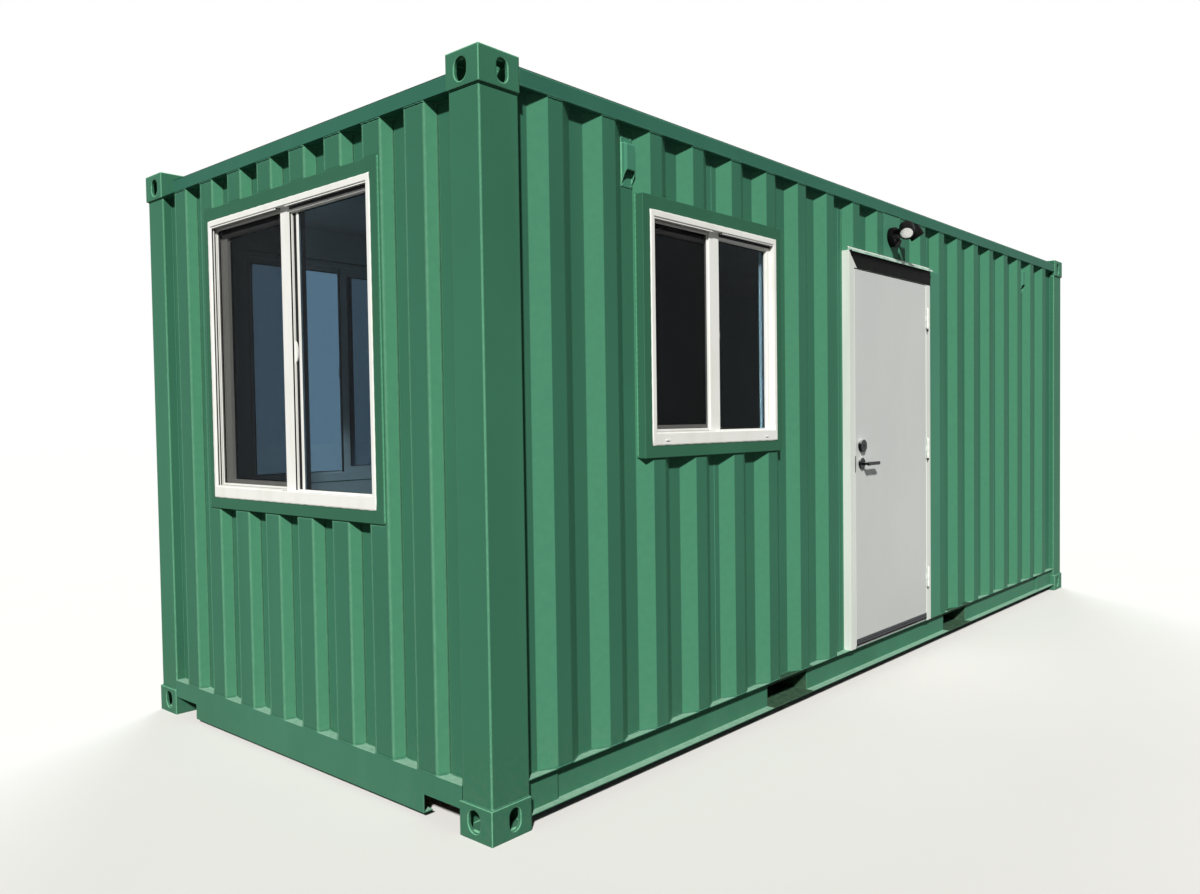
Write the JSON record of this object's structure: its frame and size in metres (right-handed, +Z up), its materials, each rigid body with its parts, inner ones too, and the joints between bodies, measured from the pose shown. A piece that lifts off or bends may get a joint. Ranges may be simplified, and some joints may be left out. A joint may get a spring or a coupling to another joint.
{
  "type": "shipping container cabin",
  "caption": "Green corrugated steel container converted to a cabin, with a hinged door, sliding windows, floodlight and hollow lined room",
  "frame": {"origin": "Centre of the rectangle of the four bottom twist-lock slots, on the plane the castings stand on", "axes": "+X along the length toward the plain end, +Y across the width away from the door, +Z up"},
  "size_m": [6.062, 2.5954, 2.591],
  "materials": {
    "green_paint": "semi-gloss green enamel on corrugated steel, lightly dusted",
    "rail_paint": "semi-gloss green enamel with scuffs near the ground",
    "roof_paint": "weathered green enamel",
    "lining_panel": "smooth white faced insulated panel",
    "white_vinyl": "satin white vinyl",
    "window_glass": "clear float glass",
    "frame_paint": "satin off-white paint",
    "door_paint": "satin pale grey primer paint",
    "floor_board": "sealed hardwood plywood",
    "bare_aluminium": "mill finish",
    "dark_plate": "matte charcoal paint",
    "pale_trim": "pale green-white paint",
    "satin_steel": "satin brushed steel",
    "lamp_black": "matte black moulded housing"
  },
  "bodies": {
    "shell": {"bottom_corner_castings": "green_paint", "top_corner_castings": "green_paint", "corner_posts": "green_paint", "bottom_side_rails": "rail_paint", "end_sills": "rail_paint", "top_side_rails": "green_paint", "end_headers": "green_paint", "floor_crossmembers": "rail_paint", "forklift_pockets": "rail_paint", "floor_deck": "floor_board", "roof_panel": "roof_paint", "door_side_wall_left": "green_paint", "door_side_wall_over_door": "green_paint", "door_side_wall_right": "green_paint", "wall_closing_plates": "green_paint", "back_wall_window_part": "green_paint", "back_wall_plain_part": "green_paint", "front_wall": "green_paint", "rear_wall": "green_paint", "lining_door_side_left": "lining_panel", "lining_over_door": "lining_panel", "lining_door_side_right": "lining_panel", "lining_back": "lining_panel", "lining_front": "lining_panel", "lining_rear": "lining_panel", "ceiling_panel": "lining_panel", "front_window_surround": "green_paint", "side_window_surround": "green_paint", "back_window_surround": "green_paint", "front_window_frame": "white_vinyl", "side_window_frame": "white_vinyl", "back_window_frame": "white_vinyl", "window_sashes": "white_vinyl", "window_glass": "window_glass", "door_frame": "frame_paint", "door_threshold": "bare_aluminium", "door_head_plate": "dark_plate", "door_drip_cap": "pale_trim", "hinge_pins": "satin_steel", "floodlight": "lamp_black", "vents": "green_paint"},
    "door": {"door_leaf": "door_paint", "hinge_knuckles": "satin_steel", "door_lock_roses": "satin_steel"},
    "lever": {"door_lever": "satin_steel"}
  },
  "joints": [
    {"name": "door_hinge", "type": "hinge", "parent": "shell", "child": "door", "pos_m": [0.4075, -1.229, 1.17], "axis": [0, 0, 1], "range_deg": [0, 110]},
    {"name": "lever_turn", "type": "hinge", "parent": "door", "child": "lever", "pos_m": [-0.423, -1.1945, 1.143], "axis": [0, 1, 0], "range_deg": [0, 45], "stiffness_Nm_per_rad": 1.5}
  ]
}
